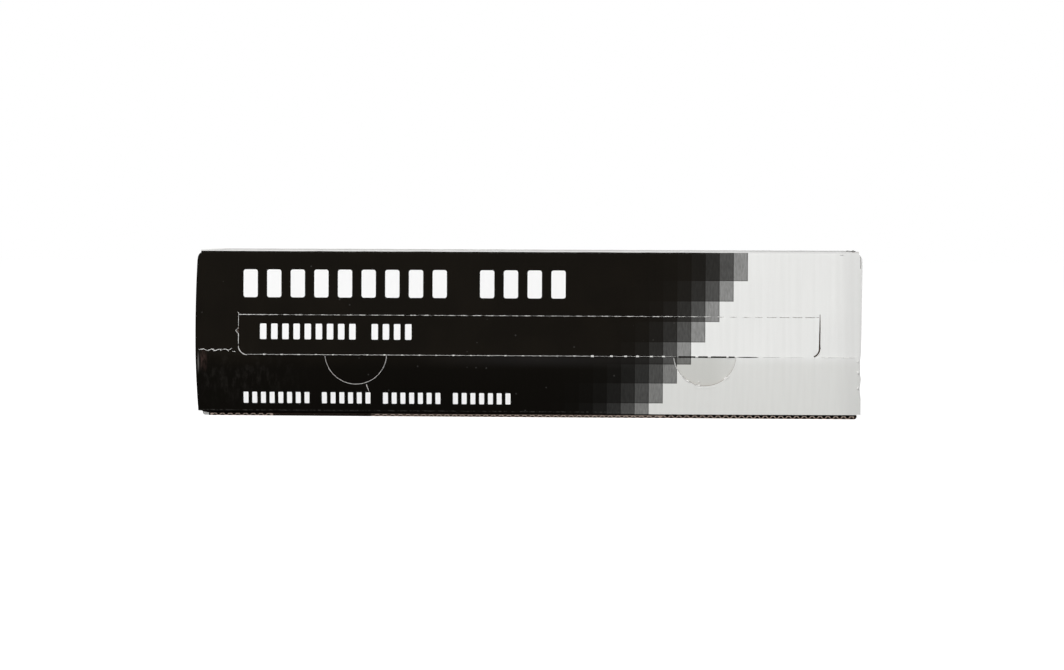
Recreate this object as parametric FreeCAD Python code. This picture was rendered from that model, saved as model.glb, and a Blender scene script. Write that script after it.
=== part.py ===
import FreeCAD, Part
import math
import os
from FreeCAD import Vector

# A closed dispenser box of fine corrugated board, folded and glued from one sheet.
# It is sealed, so it is one solid. It stands on its bottom panel, with its length
# along X, its front towards -Y and the origin at the middle of its underside.

# Overall size
box_length = 308.0
box_height = 77.0
box_depth = 75.0

# Corrugated board: two liners with a wavy medium between them
board = 1.6
liner = 0.25
medium = 0.2
flute_pitch = 3.6
flute_open = 2.4        # width of one hollow where it meets its liner
hollow_depth = 3.0      # how far a cut hollow runs into the board
arch_steps = 4          # straight steps that make up one wave of the medium

# Folds, as outer radii
front_top_fold = 1.3
front_bottom_fold = 1.2
back_fold = 1.8
end_fold = 3.0          # where the top panel turns down behind the end flaps
upright_fold = 1.6      # the four upright corners
crease_round = 12.0     # the soft bend along the lower perforation

# The front leans back above and below the crease at the lower perforation
lower_perforation = 28.3
upper_perforation = 46.6
lean_above = 1.0
lean_below = 1.8

# The ends, which handling has pushed out of true
left_bow = 1.2          # the left corner fold stands out by this at half height
bow_round = 400.0
right_lean = 1.1        # the right end stands in by this from the crease down

# End flaps: one hinged on the front is glued over one hinged on the back
flap_drop = 3.2         # from the top face down to a flap's raw edge
flap_rise = 1.8         # from the underside up to a flap's raw edge
front_flap_reach = 49.0
joint_width = 0.4       # the dark line round the back-hinged flap
joint_depth = 0.9

# Outer bottom panel, hinged on the back, with its raw edge along the front
bottom_setback = 0.3    # from the front's lower edge back to the raw edge
bottom_inset = 1.2      # from the side of the walls to the panel's own end
left_taper = 4.4        # how far each front corner of the panel is cut back
right_taper = 1.4
taper_slope = 2.0       # how far back a cut corner runs for each millimetre of its width

# Tear strip and its cuts
strip_left = 134.5      # from the middle of the box to each end of the strip
strip_right = 134.8
strip_corner = 3.8
upper_cut = 3.5
upper_tie = 2.4
lower_cut = 7.0
lower_tie = 1.0
knife_width = 0.3
knife_start = 1.0       # every cut in the front begins this far before it
knife_depth = 2.8       # and runs this deep from the crease, well into the board behind
open_width = 0.6        # the strip's right end has come apart a little
strip_overshoot = 1.4   # the end cuts run on above the upper perforation
notch_height = 40.0
notch_size = 1.3

# Thumb tabs under the lower perforation
thumb_spacing = 162.0
thumb_radius = 14.0
right_tab_push = 0.5

front = -box_depth / 2
back = box_depth / 2
half = box_length / 2


def rounded_face(corners, place):
    """A flat face from corners (u, v, radius), with an arc at each corner that has a radius."""
    edges = []
    ends = []
    count = len(corners)
    for i in range(count):
        u, v, radius = corners[i]
        corner = Vector(u, v, 0)
        before = (Vector(*corners[i - 1][:2], 0) - corner).normalize()
        after = (Vector(*corners[(i + 1) % count][:2], 0) - corner).normalize()
        turn = math.pi - before.getAngle(after)
        reach = radius * math.tan(turn / 2)
        bisector = (before + after).normalize()
        depth = radius / math.cos(turn / 2) - radius
        ends.append((corner + before * reach, corner + bisector * depth, corner + after * reach))
    for i in range(count):
        start, middle, stop = ends[i]
        if corners[i][2] > 0:
            edges.append(Part.Arc(place(start), place(middle), place(stop)).toShape())
        following = ends[(i + 1) % count][0]
        edges.append(Part.LineSegment(place(stop), place(following)).toShape())
    return Part.Face(Part.Wire(edges))


def in_section(point):
    return Vector(-box_length, point.x, point.y)


def in_front_view(point):
    return Vector(point.x, -box_depth, point.y)


def in_plan(point):
    return Vector(point.x, point.y, -box_height)


def along_x(corners):
    """A bar of the given section, longer than the box."""
    return rounded_face(corners, in_section).extrude(Vector(2 * box_length, 0, 0))


def along_y(corners):
    """A bar of the given front outline, deeper than the box."""
    return rounded_face(corners, in_front_view).extrude(Vector(0, 2 * box_depth, 0))


def along_z(corners):
    """A bar of the given plan, taller than the box."""
    return rounded_face(corners, in_plan).extrude(Vector(0, 0, 3 * box_height))


def front_at(height):
    """How far forward the outer face of the front stands at a height."""
    if height > lower_perforation:
        rise = (height - lower_perforation) / (box_height - lower_perforation)
        return front + lean_above * rise
    return front + lean_below * (lower_perforation - height) / (lower_perforation - board)


def wall_section(low, high, low_fold, high_fold, low_back_fold):
    """The section through front, back and what lies between two heights."""
    return [
        (front_at(low), low, low_fold),
        (front, lower_perforation, crease_round),
        (front_at(high), high, high_fold),
        (back, high, back_fold),
        (back, low, low_back_fold),
    ]


def end_outline(inset, low, high, top_corner):
    """The front view of the walls or flaps, a distance in from the outermost ends."""
    left = -half + inset
    right = half - inset
    return [
        (left + left_bow, low, 0),
        (left, (low + high) / 2, bow_round),
        (left + left_bow, high, top_corner),
        (right, high, top_corner),
        (right - right_lean, lower_perforation, 0),
        (right - right_lean, low, 0),
    ]


def block(section, outline, plan):
    return along_x(section).common(along_y(outline)).common(along_z(plan))


def walls():
    """Front, top and back with what they enclose, as far out as the back-hinged flaps."""
    section = wall_section(board, box_height, front_bottom_fold, front_top_fold, 0)
    outline = end_outline(board, board, box_height, end_fold)
    side = half - board
    plan = [(-side, front, 0), (side, front, 0), (side, back, upright_fold), (-side, back, upright_fold)]
    return block(section, outline, plan)


def front_hinged_flaps():
    """The outer flap at each end, which turns off the front panel and stops short of the back."""
    low = flap_rise
    high = box_height - flap_drop
    edge = front + front_flap_reach
    section = wall_section(low, high, 0, 0, 0)
    outline = end_outline(0, low, high, 0)
    plan = [(-half, front, upright_fold), (half, front, upright_fold), (half, edge, 0), (-half, edge, 0)]
    return block(section, outline, plan)


def flap_joints():
    """The line over each back-hinged flap, where it meets the top panel's fold."""
    edge = front + front_flap_reach
    height = box_height - flap_drop
    found = []
    for side in (-1, 1):
        lean = left_bow if side < 0 else 0
        outer = side * (half - board - lean)
        corner = min(outer - side * joint_depth, outer + side * board)
        at = Vector(corner, edge, height)
        found.append(Part.makeBox(board + joint_depth, 2 * box_depth, joint_width, at))
    return found


def bottom_panel():
    """The outer bottom panel with its back fold and its front corners cut back."""
    raw_edge = front_at(board) + bottom_setback
    section = [
        (raw_edge, 0, 0),
        (raw_edge, 2 * board, 0),
        (back, 2 * board, 0),
        (back, 0, back_fold),
    ]
    left = -half + left_bow + bottom_inset
    right = half - right_lean - bottom_inset
    outline = [(left, 0, board), (left, 2 * board, 0), (right, 2 * board, 0), (right, 0, board)]
    plan = [
        (left + left_taper, raw_edge, 0),
        (right - right_taper, raw_edge, 0),
        (right, raw_edge + right_taper * taper_slope, 0),
        (right, back, 0),
        (left, back, 0),
        (left, raw_edge + left_taper * taper_slope, 0),
    ]
    slab = Part.makeBox(2 * box_length, 2 * box_depth, board, Vector(-box_length, -box_depth, 0))
    return block(section, outline, plan).common(slab)


def hollow(centre, across, up, inward):
    """One hollow between the medium and a liner: an arched bar that runs into the board.
    across follows the raw edge, up points from the liner towards the medium."""
    rise = board - 2 * liner - medium
    start = centre - across * (flute_open / 2)
    stop = centre + across * (flute_open / 2)
    corners = []
    for i in range(arch_steps + 1):
        along = i / arch_steps
        lift = rise * math.sin(math.pi * along)
        corners.append(start + (stop - start) * along + up * lift)
    face = Part.Face(Part.makePolygon(corners + [start]))
    skin = inward * liner
    return face.translated(-skin).extrude(inward * hollow_depth + skin)


def hollows_along(start, across, length, up, inward):
    """The hollows of a raw edge that crosses the flutes. start lies on the outer liner's face."""
    count = int((length - flute_open) / flute_pitch)
    margin = (length - count * flute_pitch) / 2
    found = []
    for i in range(count + 1):
        place = start + across * (margin + i * flute_pitch)
        found.append(hollow(place + up * liner, across, up, inward))
    for i in range(count):
        place = start + across * (margin + (i + 0.5) * flute_pitch)
        found.append(hollow(place + up * (board - liner), across, -up, inward))
    return found


def bottom_edge_hollows():
    left = -half + left_bow + bottom_inset + left_taper
    right = half - right_lean - bottom_inset - right_taper
    start = Vector(left, front_at(board) + bottom_setback, 0)
    return hollows_along(start, Vector(1, 0, 0), right - left, Vector(0, 0, 1), Vector(0, 1, 0))


def flap_edge_hollows(side):
    """Hollows in the top and bottom raw edges of the front-hinged flap at one end."""
    found = []
    for height, inward in ((box_height - flap_drop, -1), (flap_rise, 1)):
        if side < 0:
            outer = -half + left_bow
        else:
            outer = half - (right_lean if inward > 0 else 0)
        start = Vector(outer, front + upright_fold, height)
        length = front_flap_reach - upright_fold
        found += hollows_along(
            start, Vector(0, 1, 0), length, Vector(-side, 0, 0), Vector(0, 0, inward)
        )
    return found


def front_slit(left, right, height):
    """One knife cut through the front panel along the length."""
    low = height - knife_width / 2
    at = Vector(left, front - knife_start, low)
    return Part.makeBox(right - left, knife_start + knife_depth, knife_width, at)


def row_of_cuts(left, right, cut, tie):
    """Starts and stops of as many whole cuts as fit, spread evenly between two places."""
    pitch = cut + tie
    count = int((right - left + tie) / pitch)
    margin = (right - left + tie - count * pitch) / 2
    return [(left + margin + i * pitch, left + margin + i * pitch + cut) for i in range(count)]


def upper_row():
    cuts = row_of_cuts(-strip_left + upper_tie, strip_right - upper_tie, upper_cut, upper_tie)
    return [front_slit(left, right, upper_perforation) for left, right in cuts]


def lower_row():
    reach_left = strip_left - strip_corner
    reach_right = strip_right - strip_corner
    cuts = row_of_cuts(-reach_left, reach_right, lower_cut, lower_tie)
    return [front_slit(left, right, lower_perforation) for left, right in cuts]


def side_rows():
    """The lower perforation carried on to the upright folds and round the front-hinged flaps."""
    found = []
    for left, right in (
        (-half + upright_fold, -strip_left - lower_tie),
        (strip_right + lower_tie, half - upright_fold),
    ):
        for start, stop in row_of_cuts(left, right, lower_cut, lower_tie):
            found.append(front_slit(start, stop, lower_perforation))
    low = lower_perforation - knife_width / 2
    for start, stop in row_of_cuts(front + upright_fold, front + front_flap_reach, lower_cut, lower_tie):
        for side in (-1, 1):
            at = Vector(side * half - board, start, low)
            found.append(Part.makeBox(2 * board, stop - start, knife_width, at))
    return found


def ring_part(centre_x, centre_z, radius, width, first_angle, sweep):
    """A knife cut along an arc. Angles are counted from +X towards +Z."""
    depth = knife_start + knife_depth
    base = Vector(0, 0, 0)
    outer = Part.makeCylinder(radius + width / 2, depth, base, Vector(0, 0, 1), sweep)
    inner = Part.makeCylinder(radius - width / 2, depth, base, Vector(0, 0, 1), 360)
    ring = outer.cut(inner)
    ring.rotate(base, Vector(0, 0, 1), first_angle)
    ring.rotate(base, Vector(1, 0, 0), 90)
    ring.translate(Vector(centre_x, front + knife_depth, centre_z))
    return ring


def strip_end(side, reach, width):
    """The cut down one end of the tear strip, with its rounded lower corner."""
    bottom = lower_perforation + strip_corner
    top = upper_perforation + strip_overshoot
    x = side * reach
    at = Vector(x - width / 2, front - knife_start, bottom)
    straight = Part.makeBox(width, knife_start + knife_depth, top - bottom, at)
    first_angle = 270 if side > 0 else 180
    corner_x = x - side * strip_corner
    return [straight, ring_part(corner_x, bottom, strip_corner, width, first_angle, 90)]


def starting_notch():
    """The small V beside the strip's left end, where the strip is picked up."""
    corners = [
        (-strip_left, notch_height + notch_size, 0),
        (-strip_left, notch_height - notch_size, 0),
        (-strip_left - notch_size, notch_height, 0),
    ]
    notch = along_y(corners)
    behind = Part.makeBox(
        2 * box_length, 3 * box_depth, 2 * box_height, Vector(-box_length, front + board, 0)
    )
    return notch.cut(behind)


def thumb_cuts():
    found = []
    for side in (-1, 1):
        centre = side * thumb_spacing / 2
        found.append(ring_part(centre, lower_perforation, thumb_radius, knife_width, 180, 180))
    return found


def pushed_tab():
    """The right thumb tab stands in a little, parallel to the panel round it."""
    lean = math.degrees(math.atan2(lean_below, lower_perforation - board))
    centre = Vector(thumb_spacing / 2, front + right_tab_push, lower_perforation)
    tab = Part.makeCylinder(thumb_radius, box_depth, Vector(0, 0, 0), Vector(0, 0, 1), 180)
    tab.rotate(Vector(0, 0, 0), Vector(0, 0, 1), 180)
    tab.rotate(Vector(0, 0, 0), Vector(1, 0, 0), 90 + lean)
    tab.translate(centre)
    return tab


def dispenser_box():
    """The sealed box: walls, bottom panel and glued flaps, with every knife cut."""
    shape = walls().fuse([bottom_panel(), front_hinged_flaps()])
    cuts = bottom_edge_hollows() + flap_edge_hollows(-1) + flap_edge_hollows(1)
    cuts += upper_row() + lower_row() + side_rows()
    cuts += strip_end(-1, strip_left, knife_width) + strip_end(1, strip_right, open_width)
    cuts += [starting_notch()] + thumb_cuts() + [pushed_tab()] + flap_joints()
    return shape.cut(cuts).removeSplitter()


os.makedirs("parts", exist_ok=True)
box = dispenser_box()
print("solids", len(box.Solids), "valid", box.isValid(), "faces", len(box.Faces))
print("size", box.BoundBox, "volume", box.Volume)
box.exportStep("parts/dispenser_box.step")
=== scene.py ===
import bpy
import bmesh
import math
import random
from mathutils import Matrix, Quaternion, Vector, noise


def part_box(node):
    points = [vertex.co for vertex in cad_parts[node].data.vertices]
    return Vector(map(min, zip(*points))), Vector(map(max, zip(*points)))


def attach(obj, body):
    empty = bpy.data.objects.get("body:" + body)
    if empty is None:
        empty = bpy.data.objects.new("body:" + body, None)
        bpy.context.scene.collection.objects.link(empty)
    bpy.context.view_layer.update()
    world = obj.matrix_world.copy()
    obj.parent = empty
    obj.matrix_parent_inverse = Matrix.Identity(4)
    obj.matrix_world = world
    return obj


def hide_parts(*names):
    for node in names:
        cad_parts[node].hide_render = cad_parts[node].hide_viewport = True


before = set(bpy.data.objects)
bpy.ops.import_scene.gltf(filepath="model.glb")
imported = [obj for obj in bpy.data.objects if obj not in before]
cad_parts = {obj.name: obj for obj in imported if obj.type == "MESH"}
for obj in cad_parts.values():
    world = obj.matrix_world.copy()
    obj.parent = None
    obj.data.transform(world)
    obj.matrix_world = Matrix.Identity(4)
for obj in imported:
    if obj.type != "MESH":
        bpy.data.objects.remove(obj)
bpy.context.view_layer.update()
bpy.ops.object.select_all(action="DESELECT")


# The carton is one sheet of fine corrugated board, printed outside, folded round the roll and
# glued. Each scored fold stands as a rounded ridge. The flap at either end turns off the front
# panel and is glued over the one that comes from the back.
mm = 0.001
box_low, box_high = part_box("dispenser_box")
half = box_high.x
front, back = box_low.y, box_high.y
top = box_high.z
board = 1.6 * mm
wall_end = half - board
flap_low, flap_high = 1.8 * mm, top - 1.5 * mm
flap_reach = 49 * mm
flap_edge = front + flap_reach
# Outer radii of the lid's folds, then of the lower front fold and the upright ones.
end_fold, front_fold, back_fold = 1.4 * mm, 1.3 * mm, 1.8 * mm
lower_fold, flap_fold, rear_fold = 0.6 * mm, 1.55 * mm, 1.5 * mm
crushed_at = 150 * mm
crease = 28.4 * mm
upper_line = 46.85 * mm
flute, liner = 3.6 * mm, 0.25 * mm
tolerance = 0.02 * mm
board_materials = [bpy.data.materials.new(name) for name in ("printed_board", "cut_edge", "brown_board_and_shade")]
ink, cut_edge, brown_board_and_shade = board_materials


def block(name, low, high):
    """A block between two corners, left open in edit mode."""
    middle = [(a + b) / 2 for a, b in zip(low, high)]
    size = [b - a for a, b in zip(low, high)]
    bpy.ops.mesh.primitive_cube_add(size=1, location=middle, scale=size)
    bpy.ops.object.transform_apply(location=True, rotation=True, scale=True)
    bpy.context.object.name = name
    bpy.ops.object.mode_set(mode="EDIT")
    return bpy.context.object


def score(axis, places):
    """Divides the open block straight across at each place along an axis."""
    normal = [float(i == axis) for i in range(3)]
    for place in places:
        bpy.ops.mesh.select_all(action="SELECT")
        bpy.ops.mesh.bisect(plane_co=[place * n for n in normal], plane_no=normal)


def pick(piece, kind, test):
    """Selects the edges or faces of the open piece that pass a test of their corners."""
    bpy.ops.mesh.select_mode(type=kind)
    bpy.ops.mesh.select_all(action="DESELECT")
    mesh = bmesh.from_edit_mesh(piece.data)
    for part in mesh.edges if kind == "EDGE" else mesh.faces:
        part.select_set(test([corner.co for corner in part.verts]))
    bmesh.update_edit_mesh(piece.data)


def near(value, wanted):
    """Whether two measures mark the same place."""
    return abs(value - wanted) < tolerance


def modify(piece, kind, **settings):
    """Adds a modifier with these settings and applies it."""
    bpy.ops.object.select_all(action="DESELECT")
    piece.select_set(True)
    bpy.context.view_layer.objects.active = piece
    modifier = piece.modifiers.new(kind.title(), kind)
    for name, value in settings.items():
        setattr(modifier, name, value)
    bpy.ops.object.modifier_apply(modifier=modifier.name)


def round_folds(piece, folds, segments=5):
    """Rounds each scored fold to its own radius."""
    bpy.ops.object.mode_set(mode="OBJECT")
    widest = max(radius for radius, test in folds)
    weights = piece.data.attributes.new("bevel_weight_edge", "FLOAT", "EDGE")
    for edge in piece.data.edges:
        ends = [piece.data.vertices[i].co for i in edge.vertices]
        for radius, test in folds:
            if all(test(end) for end in ends):
                weights.data[edge.index].value = radius / widest
    modify(piece, "BEVEL", width=widest, segments=segments, limit_method="WEIGHT")


carton = block("carton", (-wall_end, front, board), (wall_end, back, top))
# Rows of points up the box in millimetres, closest at the crease, the strip and the lid.
rows = [5, 9.5, 14, 18.5, 22, 25, 27.2, 28.4, 29.6, 32, 35, 38, 41, 44, 46, 47.6]
rows += [51, 55, 59, 63, 67, 70, 72, 73.3, 74.2, 74.9]
score(2, [flap_low] + [row * mm for row in rows] + [flap_high])
score(1, [front + flap_reach * quarter / 4 for quarter in (1, 2, 3)] + [flap_edge, flap_edge + 13 * mm])
for side in (-1, 1):
    pick(carton, "FACE", lambda corners: all(
        near(c.x, side * wall_end) and c.y < flap_edge + tolerance
        and flap_low - tolerance < c.z < flap_high + tolerance for c in corners))
    bpy.ops.mesh.extrude_region_move(TRANSFORM_OT_translate={"value": (side * board, 0, 0)})
round_folds(carton, [
    (end_fold, lambda c: near(c.z, top) and near(abs(c.x), wall_end)),
    (front_fold, lambda c: near(c.z, top) and near(c.y, front)),
    (back_fold, lambda c: near(c.z, top) and near(c.y, back)),
    (lower_fold, lambda c: near(c.z, board) and near(c.y, front)),
    (flap_fold, lambda c: near(abs(c.x), half) and near(c.y, front)),
    (rear_fold, lambda c: near(abs(c.x), wall_end) and near(c.y, back)),
])
# Points close enough for the flutes to show, about eight to each, and a few across the ends.
cuts_along, cuts_across_ends = 680, 13
bpy.ops.object.mode_set(mode="EDIT")
pick(carton, "EDGE", lambda corners: abs(corners[0].x - corners[1].x) > half)
bpy.ops.mesh.subdivide(number_cuts=cuts_along)
pick(carton, "EDGE", lambda corners: abs(corners[0].x - corners[1].x) < 0.2 * mm
     and abs(corners[0].x) > wall_end - 4 * mm and abs(corners[0].y - corners[1].y) > 8 * mm)
bpy.ops.mesh.subdivide(number_cuts=cuts_across_ends)
bpy.ops.object.mode_set(mode="OBJECT")
# Bare board shows on the raw edges, and in patches at the crushed corner.
for face in carton.data.polygons:
    raw = abs(face.center.x) > wall_end + tolerance and (
        near(face.center.z, flap_low) or near(face.center.z, flap_high) or near(face.center.y, flap_edge))
    torn_corner = (math.hypot(face.center.x - crushed_at, face.center.y - front) < 4 * mm
                   and face.center.z > top - 0.5 * mm and noise.noise(face.center * 900) > -0.1)
    face.material_index = int(raw or torn_corner)


# The knife cuts of the tear strip: two rows of short slits, the lower one carried on round the
# end flaps, a cut down either end with a picking notch at the left, and the half round of each
# thumb tab. They go through the board, and the strip's right end has come open.
strip_left, strip_right = -133.75 * mm, 134.8 * mm
strip_corner = 4.0 * mm
strip_top = upper_line + 1.4 * mm
knife_start, knife_stop = front - 1 * mm, front + 2.8 * mm
tab_radius = 14.25 * mm
tab_centres = (-79.2 * mm, 82.1 * mm)
tab_height = crease + 0.9 * mm
tab_dip = 0.09
upper_cut, upper_tie = 3.5 * mm, 2.4 * mm
lower_cut, lower_tie = 7.0 * mm, 1.0 * mm
notch_height, notch_size = 39.5 * mm, 1.3 * mm
upper_width, lower_width = 0.3 * mm, 0.25 * mm
hollow_half, hollow_depth, hollow_flare = 0.86 * mm, 4.5 * mm, 1.2
crack_height = crease + 2.1 * mm
knives = []


def keep_knife(bared):
    """Keeps the new object as a knife. Its cut bares one of the board's materials."""
    knife = bpy.context.object
    for material in board_materials:
        knife.data.materials.append(material)
    for face in knife.data.polygons:
        face.material_index = board_materials.index(bared)
    knives.append(knife)


def spread(left, right, cut, tie):
    """The middles of as many whole slits as fit, spread evenly between two places."""
    pitch = cut + tie
    count = int((right - left + tie) / pitch)
    first = left + (right - left + tie - count * pitch) / 2 + cut / 2
    return [first + i * pitch for i in range(count)]


def slits(middles, height, cut, tie, width, bared=brown_board_and_shade):
    """Equal lens-shaped slits in a row through the front."""
    depth = knife_stop - knife_start
    bpy.ops.mesh.primitive_cylinder_add(
        vertices=8, radius=1, depth=depth, rotation=(math.pi / 2, 0, 0),
        location=(middles[0], knife_start + depth / 2, height), scale=(cut / 2, width / 2, 1))
    bpy.ops.object.transform_apply(location=True, rotation=True, scale=True)
    modify(bpy.context.object, "ARRAY", count=len(middles), use_relative_offset=False,
           use_constant_offset=True, constant_offset_displace=(cut + tie, 0, 0))
    keep_knife(bared)


def blade(x, z, width):
    """The small square end of a knife line, open in edit mode and all selected."""
    bpy.ops.mesh.primitive_plane_add(size=1, location=(x, (knife_start + knife_stop) / 2, z))
    bpy.context.object.scale = (width, knife_stop - knife_start, 1)
    bpy.ops.object.transform_apply(location=True, rotation=True, scale=True)
    bpy.ops.object.mode_set(mode="EDIT")
    bpy.ops.mesh.select_all(action="SELECT")


def close_blade():
    """Makes the drawn out knife line one clean solid and keeps it."""
    bpy.ops.mesh.select_all(action="SELECT")
    bpy.ops.mesh.remove_doubles(threshold=0.001 * mm)
    bpy.ops.mesh.normals_make_consistent(inside=False)
    bpy.ops.object.mode_set(mode="OBJECT")
    keep_knife(cut_edge)


def hollows(place, turn, step, count, height=0.88 * mm):
    """A row of the hollows that a cut edge lays bare between the wavy sheet and a liner."""
    bpy.ops.mesh.primitive_cylinder_add(
        vertices=12, radius=1, depth=2 * hollow_depth, scale=(hollow_half, height, 1))
    bpy.ops.object.transform_apply(location=True, rotation=True, scale=True)
    bpy.ops.object.mode_set(mode="EDIT")
    bpy.ops.mesh.select_all(action="SELECT")
    bpy.ops.mesh.bisect(plane_co=(0, 0, 0), plane_no=(0, 1, 0), use_fill=True, clear_inner=True)
    bpy.ops.object.mode_set(mode="OBJECT")
    cutter = bpy.context.object
    for vertex in cutter.data.vertices:
        if vertex.co.y < 0.1 * mm:
            vertex.co.x *= hollow_flare
    cutter.rotation_euler = turn
    cutter.location = place
    bpy.ops.object.transform_apply(location=True, rotation=True, scale=True)
    modify(cutter, "ARRAY", count=count, use_relative_offset=False, use_constant_offset=True,
           constant_offset_displace=step)
    keep_knife(brown_board_and_shade)


def cut_out(piece):
    """Gives a piece the board's materials and takes all the knives out of it."""
    for material in board_materials:
        piece.data.materials.append(material)
    bpy.ops.object.select_all(action="DESELECT")
    for knife in knives:
        knife.select_set(True)
    bpy.context.view_layer.objects.active = knives[0]
    bpy.ops.object.join()
    cutter = bpy.context.object
    modify(piece, "BOOLEAN", operation="DIFFERENCE", object=cutter, solver="MANIFOLD")
    bpy.data.objects.remove(cutter)
    knives.clear()


upper_slits = spread(strip_left + upper_tie, strip_right - upper_tie, upper_cut, upper_tie)
slits(upper_slits[:-4], upper_line, upper_cut, upper_tie, upper_width, cut_edge)
# The last four have torn longer, and a short one reaches the strip's end.
longer = 1.6 * mm
slits(upper_slits[-4:], upper_line, upper_cut + longer, upper_tie - longer, 0.35 * mm, cut_edge)
slits([strip_right - 1.1 * mm], upper_line, 1.5 * mm, 0, 0.2 * mm, cut_edge)
# Ties that stand closer under the stair of squares, by their places in millimetres.
close_ties = (30.3, 39.1, 45.6, 51.2, 57.5, 63.1, 69.7)
lower_slits = spread(strip_left + strip_corner, close_ties[0] * mm, lower_cut, lower_tie)
slits(lower_slits, crease, lower_cut, lower_tie, lower_width)
for left, right in zip(close_ties, close_ties[1:]):
    slits([(left + right) / 2 * mm], crease, (right - left) * mm - lower_tie, 0, lower_width)
# Slits that stand open over the right tab, and thin ones beyond: left, right and width in mm.
open_slits = [(69.9, 77.7, 0.75), (79.0, 83.4, 0.75), (84.8, 92.0, 0.75), (92.9, 95.8, 0.65)]
thin_slits = [(96.5, 107.0, 0.45), (108.0, 117.0, 0.1), (118.5, 128.0, 0.06)]
for left, right, width in open_slits:
    bpy.ops.mesh.primitive_cube_add(
        size=1, location=((left + right) / 2 * mm, (knife_start + knife_stop) / 2, crease),
        scale=((right - left) * mm, knife_stop - knife_start, width * mm))
    bpy.ops.object.transform_apply(location=True, rotation=True, scale=True)
    keep_knife(brown_board_and_shade)
for left, right, width in thin_slits:
    slits([(left + right) / 2 * mm], crease, (right - left) * mm, 0, width * mm)
slits(spread(strip_right + lower_tie, half - 1.7 * mm, lower_cut, lower_tie),
      crease, lower_cut, lower_tie, 0.07 * mm)
slits(spread(-half + 1.7 * mm, strip_left - lower_tie, lower_cut, lower_tie),
      crack_height, lower_cut, lower_tie, 0.3 * mm)
for side, height in ((-1, crack_height), (1, crease)):
    for middle in spread(front + 1.6 * mm, flap_edge, lower_cut, lower_tie):
        bpy.ops.mesh.primitive_cube_add(size=1, location=(side * half, middle, height),
                                        scale=(2 * board, lower_cut, 0.2 * mm))
        bpy.ops.object.transform_apply(location=True, rotation=True, scale=True)
        keep_knife(cut_edge)
# The strip's ends: a straight cut that narrows towards its top, with a rounded lower corner.
for x, width, turn in ((strip_left, 0.25 * mm, math.pi / 2), (strip_right, 0.9 * mm, -1.2)):
    blade(x, strip_top, width)
    inward = math.copysign(strip_corner, turn)
    drop = strip_top - crease - strip_corner
    bpy.ops.mesh.extrude_region_move(TRANSFORM_OT_translate={"value": (0, 0, -drop)})
    bpy.ops.mesh.spin(steps=6, angle=turn, axis=(0, 1, 0), center=(x + inward, 0, crease + strip_corner))
    close_blade()
    for vertex in knives[-1].data.vertices:
        if near(vertex.co.z, strip_top):
            vertex.co.x = x + (vertex.co.x - x) * 0.3
for x, width in zip(tab_centres, (0.25 * mm, 0.06 * mm)):
    blade(x - tab_radius * math.cos(tab_dip), tab_height - tab_radius * math.sin(tab_dip), width)
    bpy.ops.mesh.spin(steps=28, angle=math.pi - 2 * tab_dip, axis=(0, 1, 0), center=(x, 0, tab_height))
    close_blade()
# A short split down the upright fold under the crushed corner.
blade(half - 0.8 * mm, 74.8 * mm, 0.22 * mm)
bpy.ops.mesh.extrude_region_move(TRANSFORM_OT_translate={"value": (0, 0, -5.5 * mm)})
close_blade()
bpy.ops.mesh.primitive_cylinder_add(
    vertices=3, radius=notch_size, depth=knife_stop - knife_start, rotation=(math.pi / 2, -math.pi / 2, 0),
    location=(strip_left - 0.2 * mm, (knife_start + knife_stop) / 2, notch_height))
bpy.ops.object.transform_apply(location=True, rotation=True, scale=True)
keep_knife(cut_edge)
for side in (-1, 1):
    for height in (flap_low, flap_high):
        for liner_at, turn in ((half - liner, side), (half - board + liner, -side)):
            shift = 0 if turn == side else flute / 2
            hollows((side * liner_at, front + 3.5 * mm + shift, height), (0, 0, turn * math.pi / 2),
                    (0, flute, 0), 13 if shift == 0 else 12)
cut_out(carton)


# Handling has bent the stiff sheet a little. The front leans back above and below the strip's
# lower line, the left end bows out, the right end is pushed in below, the lid sags, the flutes
# show through as faint ribs and the right thumb tab has been pressed in.
left_bow, right_lean = 1.2 * mm, 0.4 * mm
lean_above, lean_below = 1.0 * mm, 1.8 * mm
front_reach, lid_reach, end_reach = 30 * mm, 12 * mm, 34 * mm
rib_height, dent_height, dents_per_metre = 0.03 * mm, 0.14 * mm, 38
tab_push, tab_slope = 0.3 * mm, 0.06
flap_curl = 3.5 * mm
nicks, nick_depth = ((21.9 * mm, 0.9 * mm), (14.1 * mm, 1.1 * mm), (26.5 * mm, 3 * mm)), 0.45 * mm
corner_push, corner_reach = 0.7 * mm, 14 * mm
sprung_height, sprung_depth = 3.4 * mm, 12 * mm
lid_sag = 0.35 * mm


def bump(value, middle, width):
    """A smooth rise from 0 to 1 and back round a place."""
    return math.exp(-((value - middle) / width) ** 2)


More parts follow.
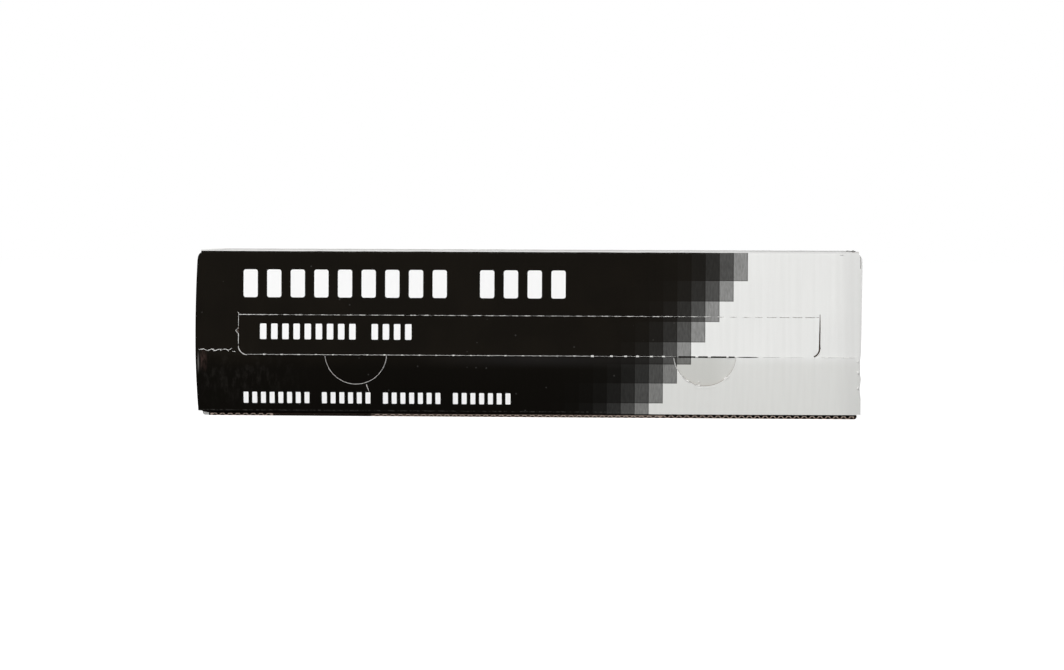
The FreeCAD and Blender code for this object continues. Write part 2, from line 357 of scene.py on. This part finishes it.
def as_handled(point):
    """Where a point of the true carton has come to lie."""
    x, y, z = point
    to_front = max(0.0, 1 - (y - front) / front_reach)
    to_top = max(0.0, (z - top + lid_reach) / lid_reach)
    to_end = max(0.0, (abs(x) - half + end_reach) / end_reach)
    ribs = rib_height * math.cos(math.tau * x / flute)
    dents = noise.noise(Vector((x, 0, z)) * dents_per_metre) * dent_height
    if z > crease:
        lean = lean_above * ((z - crease) / (top - crease)) ** 0.75
    else:
        lean = lean_below * ((crease - z) / (crease - board)) ** 1.25
    if math.hypot(x - tab_centres[1], z - tab_height) < tab_radius and z < crease - 0.1 * mm:
        lean += tab_push + tab_slope * (crease - z)
    y += (lean + ribs + dents + 0.05 * mm) * to_front
    if abs(x) > wall_end and z > flap_high - flap_curl:
        curled = math.sqrt(max(0.0, 1 - ((z - flap_high + flap_curl) / (flap_curl + 0.12 * mm)) ** 2))
        x = math.copysign(wall_end + (abs(x) - wall_end) * curled, x)
    if x < 0:
        x += left_bow * to_end * ((z - top / 2) / (top / 2)) ** 2
    else:
        x -= right_lean * to_end * min(1.0, (top - z) / (top - crease))
        x -= to_end * to_front * nick_depth * sum(bump(z, height, width) for height, width in nicks)
        y += corner_push * to_front * max(0.0, (x - half + corner_reach) / corner_reach) ** 2
    sprung = max(0.0, 1 - (z - board) / sprung_height) * max(0.0, 1 - (y - front) / sprung_depth)
    z += sprung * mm * (0.15 + 0.3 * (x / half) ** 2)
    flat = max(0.0, 1 - (y / back) ** 2)
    z -= to_top * (lid_sag * flat * (1 - (x / half) ** 2) + 0.03 * mm + ribs * 0.7)
    crush = bump(x, crushed_at, 5 * mm) * bump(y, front + 2 * mm, 8 * mm) * to_top
    z -= crush * mm * (0.15 + 0.5 * noise.noise(Vector((x, y, z)) * 700))
    return Vector((x, y, z))


fold_angle = math.radians(32)
for vertex in carton.data.vertices:
    vertex.co = as_handled(vertex.co)
carton.data.update()
modify(carton, "TRIANGULATE", min_vertices=5)
bpy.ops.object.shade_smooth_by_angle(angle=fold_angle)


# The printing: black over the front and the left flap, silver over the rest, and a stair of
# squares in even steps of tone between the two. White blocks stand in three lines on the black.
# The ink is satin, and it is rubbed where the board has been handled.
ink.use_nodes = True


def calculator(material):
    """A function that adds one maths node to a material and returns its result."""
    tree = material.node_tree

    def calc(kind, *values):
        node = tree.nodes.new("ShaderNodeMath")
        node.operation = kind
        for socket, value in zip(node.inputs, values):
            if isinstance(value, (int, float)):
                socket.default_value = value
            else:
                tree.links.new(value, socket)
        return node.outputs[0]

    return calc


def place_in_mm(material):
    """The object's own coordinates in millimetres, as one vector and as x, y and z."""
    tree = material.node_tree
    coordinates = tree.nodes.new("ShaderNodeTexCoord")
    scale = tree.nodes.new("ShaderNodeVectorMath")
    scale.operation = "SCALE"
    scale.inputs["Scale"].default_value = 1 / mm
    parts = tree.nodes.new("ShaderNodeSeparateXYZ")
    tree.links.new(coordinates.outputs["Object"], scale.inputs[0])
    tree.links.new(scale.outputs[0], parts.inputs[0])
    return scale.outputs[0], *parts.outputs


def grain(material, place, scale, detail=3.0, rough=0.5):
    """A noise that is stretched or shrunk along x, y and z."""
    tree = material.node_tree
    mapping = tree.nodes.new("ShaderNodeMapping")
    mapping.inputs["Scale"].default_value = scale
    texture = tree.nodes.new("ShaderNodeTexNoise")
    texture.inputs["Scale"].default_value = 1
    texture.inputs["Detail"].default_value = detail
    texture.inputs["Roughness"].default_value = rough
    tree.links.new(place, mapping.inputs[0])
    tree.links.new(mapping.outputs[0], texture.inputs["Vector"])
    return texture.outputs[0]


def tint(material, factor, under, over):
    """Lays one colour over another by a factor."""
    tree = material.node_tree
    node = tree.nodes.new("ShaderNodeMix")
    node.data_type = "RGBA"
    tree.links.new(factor, node.inputs[0])
    for socket, value in ((node.inputs[6], under), (node.inputs[7], over)):
        if isinstance(value, tuple):
            socket.default_value = (*value, 1)
        else:
            tree.links.new(value, socket)
    return node.outputs[2]


calc = calculator(ink)
place, x, y, z = place_in_mm(ink)


def between(value, low, high):
    """1 between two values and 0 elsewhere."""
    return calc("MULTIPLY", calc("GREATER_THAN", value, low), calc("LESS_THAN", value, high))


def around(value, middle, width):
    """1 at a place, falling smoothly to 0 at a distance."""
    away = calc("ABSOLUTE", calc("SUBTRACT", value, middle))
    node = ink.node_tree.nodes.new("ShaderNodeMapRange")
    node.interpolation_type = "SMOOTHSTEP"
    ink.node_tree.links.new(away, node.inputs["Value"])
    node.inputs["From Min"].default_value = 0
    node.inputs["From Max"].default_value = width
    node.inputs["To Min"].default_value = 1
    node.inputs["To Max"].default_value = 0
    return node.outputs["Result"]


def over_threshold(value, low, high):
    """0 below one value and 1 above another, with a smooth step between."""
    node = ink.node_tree.nodes.new("ShaderNodeMapRange")
    node.interpolation_type = "SMOOTHSTEP"
    ink.node_tree.links.new(value, node.inputs["Value"])
    node.inputs["From Min"].default_value = low
    node.inputs["From Max"].default_value = high
    return node.outputs["Result"]


# The stair, in millimetres: rows of squares, each ending one square further left than the last.
step_width, step_height, last_row = 6.456, 9.42, 7
stair_start, stair_top = 101.55, 72.8
behind_front, print_edge, left_fold = -34.6, 76.2, -152.6
on_front = calc("LESS_THAN", y, behind_front)
print_top = calc("ADD", print_edge, calc("MULTIPLY", grain(ink, place, (0.05, 0, 0)), 0.4))
front_print = calc("MULTIPLY", on_front, calc("LESS_THAN", z, print_top))
# Below the crease the rows lie up to a millimetre lower.
drawn_down = around(z, 22.5, 9)
rows_down = calc("DIVIDE", calc("SUBTRACT", calc("SUBTRACT", stair_top, z), drawn_down), step_height)
left_flap = calc("MULTIPLY", calc("LESS_THAN", x, left_fold), calc("LESS_THAN", y, flap_edge / mm + 0.1))
row = calc("MAXIMUM", 0, calc("MINIMUM", last_row, calc("FLOOR", rows_down)))
row_end = calc("SUBTRACT", stair_start, calc("MULTIPLY", row, step_width))
squares_left = calc("DIVIDE", calc("SUBTRACT", row_end, x), step_width)
square = calc("MAXIMUM", 0, calc("FLOOR", squares_left))
# Above the crease the first square is paler and each step is steeper than below it.
above_line = calc("GREATER_THAN", z, crease / mm)
first_tone = calc("ADD", 0.28, calc("MULTIPLY", above_line, 0.05))
tone_ratio = calc("SUBTRACT", 0.35, calc("MULTIPLY", above_line, 0.07))
tone = calc("MULTIPLY", first_tone, calc("POWER", tone_ratio, square))
# A darker line where two squares overlap, and a fine mottle.
overlap = calc("MAXIMUM", calc("LESS_THAN", calc("FRACT", squares_left), 0.06),
               calc("GREATER_THAN", calc("SUBTRACT", rows_down, row), 0.955))
tone = calc("MULTIPLY", tone, calc("SUBTRACT", 1, calc("MULTIPLY", overlap, 0.35)))
mottle = grain(ink, place, (1.5, 1.5, 0.35), 4)
tone = calc("MULTIPLY", tone, calc("ADD", 0.55, calc("MULTIPLY", mottle, 0.9)))
covered = calc("MULTIPLY", front_print, calc("GREATER_THAN", squares_left, 0))
silver_share = calc("SUBTRACT", 1, calc("MULTIPLY", covered, calc("SUBTRACT", 1, tone)))
silver_share = calc("MULTIPLY", silver_share, calc("SUBTRACT", 1, left_flap))


def blocks(left, low, high, pitch, width, sizes):
    """A line of equal upright blocks with a rounded corner, in groups of so many each."""
    along = calc("DIVIDE", calc("SUBTRACT", x, left), pitch)
    number = calc("FLOOR", along)
    across = calc("MULTIPLY", calc("SUBTRACT", along, calc("ADD", number, width / pitch / 2)), pitch)
    upright = calc("SUBTRACT", z, (low + high) / 2)
    corner = width * 0.16
    over_x = calc("MAXIMUM", 0, calc("SUBTRACT", calc("ABSOLUTE", across), width / 2 - corner))
    over_z = calc("MAXIMUM", 0, calc("SUBTRACT", calc("ABSOLUTE", upright), (high - low) / 2 - corner))
    away = calc("SQRT", calc("ADD", calc("MULTIPLY", over_x, over_x), calc("MULTIPLY", over_z, over_z)))
    shape = calc("LESS_THAN", away, corner)
    start = 0
    groups = 0.0
    for count in sizes:
        groups = calc("ADD", groups, between(number, start - 0.5, start + count - 0.5))
        start += count + 1
    return calc("MULTIPLY", shape, groups)


# Each line of blocks: left end, lower and upper edge, pitch, width and the size of each group.
white_share = calc("MAXIMUM", blocks(-131.5, 55.0, 67.9, 10.98, 6.6, (9, 4)),
                   calc("MAXIMUM", blocks(-123.8, 35.6, 42.85, 5.19, 3.0, (9, 4)),
                        blocks(-131.6, 5.9, 11.1, 4.06, 2.3, (8, 6, 7, 7))))
white_share = calc("MULTIPLY", white_share, on_front)
# The inks: a black with faint clouds and a silver with faint streaks along the flutes. Painted
# shade darkens the black below the crease, and the silver on the right tab, below the strip, at
# its right end and on the lid.
streaks = grain(ink, place, (0.55, 0.55, 0.012), 4, 0.6)
clouds = grain(ink, place, (0.05, 0.05, 0.05), 3)
fine = grain(ink, place, (4, 4, 4), 2)
black = tint(ink, over_threshold(clouds, 0.35, 0.75), (0.0010, 0.0008, 0.0005), (0.0030, 0.0024, 0.0016))
# Painted shade: the black on the front is darkened below the crease, where the front leans back.
black = tint(ink, calc("MULTIPLY", over_threshold(z, 27.5, 21), on_front), black, (0.0003, 0.0003, 0.0002))
washboard = calc("COSINE", calc("MULTIPLY", calc("ADD", x, y), math.tau * mm / flute))
streaked = over_threshold(calc("ADD", streaks, calc("MULTIPLY", washboard, 0.06)), 0.3, 0.7)
silver = tint(ink, streaked, (0.758, 0.760, 0.746), (0.784, 0.786, 0.772))
# Painted shade: the silver on the pressed-in right tab is darkened, fading out towards the tab's right
# side.
from_tab = calc("SQRT", calc("ADD", calc("POWER", calc("SUBTRACT", x, tab_centres[1] / mm), 2),
                             calc("POWER", calc("SUBTRACT", z, tab_height / mm), 2)))
in_ring = calc("LESS_THAN", from_tab, tab_radius / mm)
under_line = calc("LESS_THAN", z, crease / mm - 0.1)
tab_shade = calc("MULTIPLY", calc("MULTIPLY", in_ring, under_line), on_front)
tab_shade_fade = calc("MULTIPLY", over_threshold(x, 84, 97), 0.6)
tab_shade = calc("MULTIPLY", tab_shade, calc("SUBTRACT", 1, tab_shade_fade))
silver = tint(ink, calc("MULTIPLY", tab_shade, 0.65), silver, (0.56, 0.56, 0.53))
# Painted shade: the silver below the strip is darkened, where the front leans back.
shade_below_strip = calc("MULTIPLY", over_threshold(z, 28.6, 24), on_front)
silver = tint(ink, calc("MULTIPLY", shade_below_strip, 0.25), silver, (0.60, 0.605, 0.56))
# Painted shade: the silver is darkened towards the front's right end, where the board turns away.
painted_end_shade = calc("MULTIPLY", calc("MULTIPLY", around(x, 149, 9), on_front), 0.3)
silver = tint(ink, painted_end_shade, silver, (0.60, 0.60, 0.59))
# Painted shade: the silver on the lid is darkened. The lid is also made less glossy.
on_lid = calc("MULTIPLY", calc("GREATER_THAN", z, print_edge), calc("GREATER_THAN", y, -36.6))
silver = tint(ink, on_lid, silver, (0.71, 0.71, 0.70))
colour = tint(ink, silver_share, black, silver)
colour = tint(ink, white_share, colour, (0.98, 0.98, 0.98))
# Wear: scuffs at the lower left, ink rubbed through at the left fold, specks of dust and pale lines
# along the folds. Also a painted sheen under the crease.
lower_left = calc("MULTIPLY", around(x, -135, 40), around(z, 18, 18))
patches = over_threshold(grain(ink, place, (0.45, 0.45, 0.2), 5, 0.7), 0.45, 0.75)
scuffs = calc("MULTIPLY", patches, lower_left)
colour = tint(ink, calc("MULTIPLY", scuffs, 0.018), colour, (0.6, 0.54, 0.48))
rubbed = calc("MULTIPLY", around(x, -150.2, 2.2), around(z, 26, 6.5))
rubbed = calc("MULTIPLY", rubbed, over_threshold(grain(ink, place, (1.2, 1.2, 0.3), 4, 0.6), 0.3, 0.7))
colour = tint(ink, calc("MULTIPLY", rubbed, 0.11), colour, (0.55, 0.33, 0.29))
dots = ink.node_tree.nodes.new("ShaderNodeTexVoronoi")
dots.inputs["Scale"].default_value = 0.22
ink.node_tree.links.new(place, dots.inputs["Vector"])
cell = ink.node_tree.nodes.new("ShaderNodeSeparateColor")
ink.node_tree.links.new(dots.outputs["Color"], cell.inputs[0])
speck = calc("LESS_THAN", dots.outputs["Distance"], 0.09)
dust = calc("MULTIPLY", speck, calc("GREATER_THAN", cell.outputs[0], 0.8))
colour = tint(ink, calc("MULTIPLY", dust, 0.035), colour, (0.7, 0.68, 0.65))
# Painted sheen: a faint pale glow laid over the ink just under the crease.
painted_sheen = calc("MULTIPLY", around(x, 10, 75), around(z, 27, 5))
painted_sheen = calc("MULTIPLY", painted_sheen, calc("MULTIPLY", on_front, calc("LESS_THAN", z, crease / mm)))
colour = tint(ink, calc("MULTIPLY", painted_sheen, 0.014), colour, (0.5, 0.49, 0.52))
worn_line = calc("MULTIPLY", around(x, left_fold, 0.6), around(z, 24.7, 6))
colour = tint(ink, calc("MULTIPLY", worn_line, 0.25), colour, (0.5, 0.47, 0.44))
worn_fold = calc("MAXIMUM", around(z, 76.6, 1.1), calc("MULTIPLY", around(z, 2.6, 0.4), 0.5))
wear = calc("MULTIPLY", worn_fold, over_threshold(grain(ink, place, (1.1, 1.1, 1.1), 5, 0.7), 0.45, 0.7))
colour = tint(ink, calc("MULTIPLY", wear, 0.2), colour, (0.6, 0.58, 0.55))
height = calc("ADD", calc("MULTIPLY", washboard, 0.25), calc("ADD", streaks, calc("MULTIPLY", fine, 0.12)))
shader = ink.node_tree.nodes["Principled BSDF"]
relief = ink.node_tree.nodes.new("ShaderNodeBump")
relief.inputs["Strength"].default_value = 0.35
relief.inputs["Distance"].default_value = 0.1 * mm
ink.node_tree.links.new(height, relief.inputs["Height"])
ink.node_tree.links.new(relief.outputs[0], shader.inputs["Normal"])
ink.node_tree.links.new(colour, shader.inputs["Base Color"])
silver_only = calc("MULTIPLY", silver_share, calc("SUBTRACT", 1, white_share))
ink.node_tree.links.new(calc("MULTIPLY", silver_only, 0.06), shader.inputs["Metallic"])
satin = calc("ADD", 0.33, calc("MULTIPLY", clouds, 0.12))
satin = calc("ADD", satin, calc("MULTIPLY", on_lid, 0.3))
ink.node_tree.links.new(satin, shader.inputs["Roughness"])
shader.inputs["Specular IOR Level"].default_value = 0.036
shader.inputs["Specular Tint"].default_value = (1, 0.86, 0.7, 1)


# Bare board shows in every cut. The cut faces are pale and fibrous, and the wavy sheet and the inner
# liner behind them are brown, painted near black as shade deep in the flutes and slits.
for bare, dark, pale in ((cut_edge, (0.16, 0.11, 0.088), (0.50, 0.41, 0.35)),
                         (brown_board_and_shade, (0.010, 0.006, 0.004), (0.030, 0.020, 0.014))):
    bare.use_nodes = True
    fibres = grain(bare, place_in_mm(bare)[0], (2.5, 2.5, 2.5), 4, 0.6)
    bare_shader = bare.node_tree.nodes["Principled BSDF"]
    bare.node_tree.links.new(tint(bare, fibres, dark, pale), bare_shader.inputs["Base Color"])
    bare_shader.inputs["Roughness"].default_value = 0.9
    bare_shader.inputs["Specular IOR Level"].default_value = 0.1
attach(carton, "root")
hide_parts("dispenser_box")


# The outer bottom panel is the last flap of the same sheet. It hinges on the back, is glued
# under the box, and its cut front edge shows the flutes. Its front corners are trimmed.
raw_edge = front + lean_below + 0.15 * mm
edge_low, edge_high, edge_reach = 1.05 * mm, 1.4 * mm, 5 * mm
trim_left, trim_right = 4.4 * mm, 1.4 * mm
panel_end_fold, panel_back_fold = 1.55 * mm, 1.5 * mm
panel_left, panel_right = -half + left_bow + 1.2 * mm, half - right_lean - 1.6 * mm
bottom_panel = block("bottom_panel", (panel_left, raw_edge, 0), (panel_right, back, board))
for end, side, trim in ((panel_left, -1, trim_left), (panel_right, 1, trim_right)):
    bpy.ops.mesh.select_all(action="SELECT")
    bpy.ops.mesh.bisect(plane_co=(end - side * trim, raw_edge, 0), plane_no=(side * 2, -1, 0),
                        use_fill=True, clear_outer=True)
score(1, [raw_edge + edge_reach])
# Stretches of the raw edge: whole at the left, crushed with painted shadow, crushed, and whole at the
# right.
crushed_from, shaded_to, crushed_to = -118 * mm, -72 * mm, 62 * mm
score(0, [crushed_from, shaded_to])
round_folds(bottom_panel, [
    (panel_end_fold, lambda c: near(c.z, 0) and (near(c.x, panel_left) or near(c.x, panel_right))),
    (panel_back_fold, lambda c: near(c.z, 0) and near(c.y, back)),
], 4)
pale, brown = board_materials.index(cut_edge), board_materials.index(brown_board_and_shade)
trim_end = raw_edge + 2 * trim_right + 0.1 * mm
# Painted shadow: the raw edge's second stretch, the trimmed right corner and the panel's upper face get the
# near-black brown board, standing in for shade under the front.
for face in bottom_panel.data.polygons:
    if near(face.center.y, raw_edge):
        face.material_index = brown if crushed_from < face.center.x < shaded_to else pale
    trimmed = face.center.x > panel_right - trim_right and face.center.y < trim_end
    if near(face.center.z, board) or (trimmed and abs(face.normal.z) < 0.5):
        face.material_index = brown
edge_left, edge_right = panel_left + trim_left, panel_right - trim_right
for left, right, height, roof in ((edge_left, crushed_from, 1.2 * mm, 0),
                                  (crushed_from, crushed_to, 1.0 * mm, 0.15 * mm),
                                  (crushed_to, edge_right, 1.2 * mm, 0)):
    count = int((right - left - 2.1 * mm) / flute)
    first = left + (right - left - count * flute) / 2
    hollows((first, raw_edge, 0.15 * mm), (math.pi / 2, 0, 0), (flute, 0, 0), count + 1, height)
    hollows((first + flute / 2, raw_edge, board - roof), (-math.pi / 2, 0, 0), (flute, 0, 0), count, height)
cut_out(bottom_panel)
for vertex in bottom_panel.data.vertices:
    from_edge = (vertex.co.y - raw_edge) / edge_reach
    edge_height = edge_low + (edge_high - edge_low) * min(1, max(0, vertex.co.x - 50 * mm) / (40 * mm))
    if from_edge < 1:
        vertex.co.z *= 1 - (1 - edge_height / board) * (1 - from_edge)
modify(bottom_panel, "TRIANGULATE", min_vertices=5)
bpy.ops.object.shade_smooth_by_angle(angle=fold_angle)
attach(bottom_panel, "root")


# White paper fibres stand up along every cut and crack, where the knife or a fold has broken
# the printed liner. They are ragged, thickest at the ties between the slits, and brown where
# the crushed corner has flaked.
random.seed(7)
lines = bpy.data.curves.new("torn_paper", "CURVE")
lines.dimensions = "3D"
lines.bevel_depth = 0.1 * mm
lines.bevel_resolution = 1
lines.use_fill_caps = True
paper = bpy.data.materials.new("torn_paper")
lines.materials.append(paper)
lines.materials.append(brown_board_and_shade)
white, flaked = 0, 1
rim = front - 0.01 * mm


def fibre(points, thickness, ragged=0.4, depth=rim, material=white):
    """One line of torn fibres through points of the true front, given as x and z."""
    spline = lines.splines.new("POLY")
    spline.material_index = material
    spline.points.add(len(points) - 1)
    for point, (px, pz) in zip(spline.points, points):
        wander = 0.05 * mm * random.uniform(-1, 1)
        point.co = (*as_handled((px, depth, pz + wander)), 1)
        point.radius = thickness * random.uniform(1 - ragged, 1 + ragged)


def straight(left, right, height, spacing=0.5 * mm):
    """Points along a level line."""
    count = max(2, int((right - left) / spacing))
    return [(left + (right - left) * i / count, height) for i in range(count + 1)]


def arc(cx, cz, radius, first, last, steps):
    """Points along part of a circle."""
    angles = [first + (last - first) * i / steps for i in range(steps + 1)]
    return [(cx + radius * math.cos(a), cz + radius * math.sin(a)) for a in angles]


# Along the upper slits.
above_row = upper_line + 0.1 * mm
fibre(straight(strip_left, strip_right, above_row, 1.2 * mm), 0.35, 0.7)
fibre(straight(strip_left, strip_left + 18 * mm, above_row), 1.2, 0.5)
for middle in upper_slits:
    reach = upper_cut * random.uniform(0.36, 0.56)
    fibre(straight(middle - reach, middle + reach, above_row), 1.25, 0.6)
# Along the lower slits.
above_row = crease + 0.13 * mm
closer_from, closer_to = close_ties[0] * mm, close_ties[-1] * mm
fibre(straight(strip_left + strip_corner, closer_from, above_row, 0.8 * mm), 0.8, 0.4)
fibre(straight(closer_from, closer_to - 1 * mm, above_row, 0.8 * mm), 0.5, 0.4)
ties = [middle + (lower_cut + lower_tie) / 2 for middle in lower_slits[:-1]]
ties += [(before[1] + after[0]) / 2 * mm for before, after in zip(open_slits, open_slits[1:] + thin_slits)]
for tie in ties:
    fibre(straight(tie - 0.55 * mm, tie + 0.55 * mm, above_row, 0.3 * mm), random.uniform(1.6, 3.0), 0.4)
for tie in close_ties[:-1]:
    fibre(straight((tie - 0.7) * mm, (tie + 0.7) * mm, above_row, 0.3 * mm), random.uniform(3.4, 4.4), 0.3)
# Down the two ends of the strip.
corner_x, corner_z = strip_left + strip_corner, crease + strip_corner
beside_cut = strip_left - 0.1 * mm
fibre([(beside_cut - 0.3 * mm, 48.2 * mm), (beside_cut, 47.7 * mm),
       (beside_cut + 0.3 * mm, 46.7 * mm)], 1.4)
fibre([(beside_cut, (46.5 - i) * mm) for i in range(6)], 0.9)
fibre([(beside_cut, 40.7 * mm), (beside_cut - notch_size, notch_height),
       (beside_cut - 0.1 * mm, 38.2 * mm)], 1.1)
fibre([(beside_cut, (38.2 - i) * mm) for i in range(6)], 1.2)
fibre(arc(corner_x, corner_z, strip_corner + 0.1 * mm, math.pi, math.pi * 1.5, 12), 1.6)
corner_x = strip_right - strip_corner
fibre([(strip_right + 0.35 * mm, (47 - i) * mm) for i in range(15)], 1.1)
fibre(arc(corner_x, corner_z, strip_corner + 0.35 * mm, 0, -math.pi * 0.42, 10), 1.2)
# Round the thumb tabs.
ring_start, ring_end = math.pi + tab_dip, math.tau - tab_dip
fibre(arc(tab_centres[0], tab_height, tab_radius + 0.12 * mm, ring_start, ring_end, 80), 0.85, 0.35)
fibre(arc(tab_centres[1], tab_height, tab_radius + 0.1 * mm, ring_start, ring_start + 0.5, 12), 1.2, 0.4)
fibre(arc(tab_centres[1], tab_height, tab_radius + 0.2 * mm, 3.75, 4.75, 20), 1.5, 0.6)
for start in (3.85, 4.1, 4.5, 5.4):
    stop = start + random.uniform(0.04, 0.1)
    fibre(arc(tab_centres[1], tab_height, tab_radius, start, stop, 3), 3.4, 0.4)
fibre(arc(tab_centres[1], tab_height, tab_radius + 0.3 * mm, 3.72, 4.1, 10), 2.0, 0.7)
fibre(arc(tab_centres[1], tab_height, tab_radius + 0.4 * mm, 5.34, 5.6, 6), 2.3, 0.7)
fibre(arc(tab_centres[1], tab_height, tab_radius + 1.0 * mm, 4.4, 5.05, 12), 0.9, 0.5)
fibre([(79.2 * mm, 17.1 * mm), (79.7 * mm, 17.0 * mm)], 4.0, 0.3)


def crack(points, thickness):
    """A ragged line in short steps through rough places, given in millimetres."""
    found = []
    for (x0, z0), (x1, z1) in zip(points, points[1:]):
        for i in range(4):
            share = i / 4
            found.append(((x0 + (x1 - x0) * share) * mm, (z0 + (z1 - z0) * share) * mm))
    fibre(found + [(points[-1][0] * mm, points[-1][1] * mm)], thickness, 0.6)


# Cracks left of the strip, below the left tab and right of the strip.
crack([(-152.4, 30.5), (-150.2, 30.9), (-148.3, 30.1), (-146.3, 30.9), (-144.8, 30.1), (-142.7, 30.8)], 1.5)
crack([(-142.7, 30.8), (-141.8, 30.4), (-140.2, 30.9), (-138.2, 30.4), (-136.9, 31.3)], 1.2)
crack([(-139.2, 30.6), (-138.4, 29.9)], 1.0)
crack([(-145.6, 31.0), (-145.3, 29.9)], 0.9)
crack([(-142.0, 31.1), (-142.3, 30.0)], 0.9)
crack([(-136.6, 29.8), (-135.2, 29.8)], 1.1)
crack([(-74.3, 15.0), (-74.0, 13.8), (-73.4, 12.4), (-73.1, 11.5)], 1.2)
crack([(135.5, 28.6), (138, 28.4), (141, 28.9), (143.7, 28.9), (147, 28.4), (150.4, 28.6),
       (152.6, 29.1)], 1.2)
# Flakes on the crushed corner, and the nicks in the right edge.
on_fold, ridge = front + 0.9 * mm, top + 0.15 * mm
fibre([(px * mm, ridge + 0.3 * mm) for px in (146.6, 147.4, 148.2, 149.1, 150.0, 150.8)],
      1.7, 0.4, on_fold, flaked)
fibre([(149.0 * mm, ridge + 0.45 * mm), (149.7 * mm, ridge + 0.65 * mm), (150.4 * mm, ridge + 0.3 * mm)],
      1.7, 0.3, on_fold, flaked)
fibre([(151.6 * mm, top - 0.25 * mm), (152.3 * mm, top - 0.4 * mm)], 2.6, 0.3, front + 0.5 * mm, flaked)
fibre([(143.6 * mm, top - 1.4 * mm), (145.2 * mm, top - 1.45 * mm)], 0.9, 0.4, rim, flaked)
for height in (26.6, 21.5, 14.4):
    fibre([(half - 1.1 * mm, (height + 0.5) * mm), (half - 0.9 * mm, (height - 0.5) * mm)], 3.0, 0.4)
torn = bpy.data.objects.new("torn_paper", lines)
bpy.context.scene.collection.objects.link(torn)
bpy.ops.object.select_all(action="DESELECT")
torn.select_set(True)
bpy.context.view_layer.objects.active = torn
bpy.ops.object.convert(target="MESH")
torn = bpy.context.object
bpy.ops.object.mode_set(mode="EDIT")
bpy.ops.mesh.select_all(action="SELECT")
bpy.ops.mesh.remove_doubles(threshold=0.0005 * mm)
bpy.ops.mesh.normals_make_consistent(inside=False)
bpy.ops.object.mode_set(mode="OBJECT")
paper.use_nodes = True
paper_grain = grain(paper, place_in_mm(paper)[0], (2, 2, 2), 4, 0.7)
paper_colour = tint(paper, paper_grain, (0.72, 0.71, 0.69), (0.98, 0.98, 0.96))
paper_shader = paper.node_tree.nodes["Principled BSDF"]
paper.node_tree.links.new(paper_colour, paper_shader.inputs["Base Color"])
paper_shader.inputs["Roughness"].default_value = 0.95
paper_shader.inputs["Specular IOR Level"].default_value = 0.1
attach(torn, "root")


# A white studio: a square lamp high at the front left, a long low one in front and one behind,
# white walls, and a pale floor that keeps the box's shadow.
bpy.ops.mesh.primitive_plane_add(size=12)
floor = bpy.context.object
floor.name = "floor"
ground = bpy.data.materials.new("floor")
ground.use_nodes = True
tree = ground.node_tree
tree.nodes.clear()
output = tree.nodes.new("ShaderNodeOutputMaterial")
mix = tree.nodes.new("ShaderNodeMixShader")
both = tree.nodes.new("ShaderNodeAddShader")
diffuse = tree.nodes.new("ShaderNodeBsdfDiffuse")
glow = tree.nodes.new("ShaderNodeEmission")
diffuse.inputs["Color"].default_value = (0.35, 0.35, 0.35, 1)
glow.inputs["Strength"].default_value = 0.95
rays = tree.nodes.new("ShaderNodeLightPath")
floor_calc = calculator(ground)
seen = floor_calc("MAXIMUM", rays.outputs["Is Camera Ray"],
                  floor_calc("MAXIMUM", rays.outputs["Is Glossy Ray"], rays.outputs["Is Transmission Ray"]))
tree.links.new(seen, mix.inputs[0])
tree.links.new(diffuse.outputs[0], mix.inputs[1])
tree.links.new(diffuse.outputs[0], both.inputs[0])
tree.links.new(glow.outputs[0], both.inputs[1])
tree.links.new(both.outputs[0], mix.inputs[2])
tree.links.new(mix.outputs[0], output.inputs[0])
floor.data.materials.append(ground)

scene = bpy.context.scene
world = bpy.data.worlds.new("studio")
scene.world = world
world.use_nodes = True
sky = world.node_tree.nodes["Background"]
sky.inputs["Color"].default_value = (1, 1, 1, 1)
world_calc = calculator(world)
rays = world.node_tree.nodes.new("ShaderNodeLightPath")
seen = world_calc("MAXIMUM", rays.outputs["Is Camera Ray"],
                  world_calc("MAXIMUM", rays.outputs["Is Glossy Ray"], rays.outputs["Is Transmission Ray"]))
fill = 0.15
strength = world_calc("ADD", fill, world_calc("MULTIPLY", seen, 1 - fill))
world.node_tree.links.new(strength, sky.inputs["Strength"])

middle_of_box, lamp_distance = Vector((0, 0, top / 2)), 2.2
# Each lamp: its name, its angles round and above the box, its watts, width and height.
lamps = [("key", -22, 45, 30, 1.0, 1.0), ("front", -4, 9, 18, 2.0, 0.35), ("back", -150, 30, 9, 1.5, 1.0)]
for name, side_angle, height_angle, watts, width, height in lamps:
    lamp = bpy.data.lights.new(name, "AREA")
    lamp.energy = watts
    lamp.shape = "RECTANGLE"
    lamp.size = width
    lamp.size_y = height
    stand = bpy.data.objects.new(name, lamp)
    around_box, above = math.radians(side_angle), math.radians(height_angle)
    stand.location = middle_of_box + lamp_distance * Vector((
        math.sin(around_box) * math.cos(above), -math.cos(around_box) * math.cos(above), math.sin(above)))
    stand.rotation_euler = (middle_of_box - stand.location).to_track_quat("-Z", "Y").to_euler()
    scene.collection.objects.link(stand)

# The camera stands well back in front of the box, a little to the right and above.
camera = bpy.data.objects.new("camera", bpy.data.cameras.new("camera"))
camera.data.lens = 91.9
camera.data.sensor_width = 36
camera.location = (62.5 * mm, front - 1250 * mm, 86.7 * mm)
aim = Vector((2.43 * mm, front, 38.16 * mm)) - camera.location
roll = Quaternion((0, 0, 1), math.radians(0.2))
camera.rotation_euler = (aim.to_track_quat("-Z", "Y") @ roll).to_euler()
scene.collection.objects.link(camera)
scene.camera = camera
scene.view_settings.view_transform = "Standard"
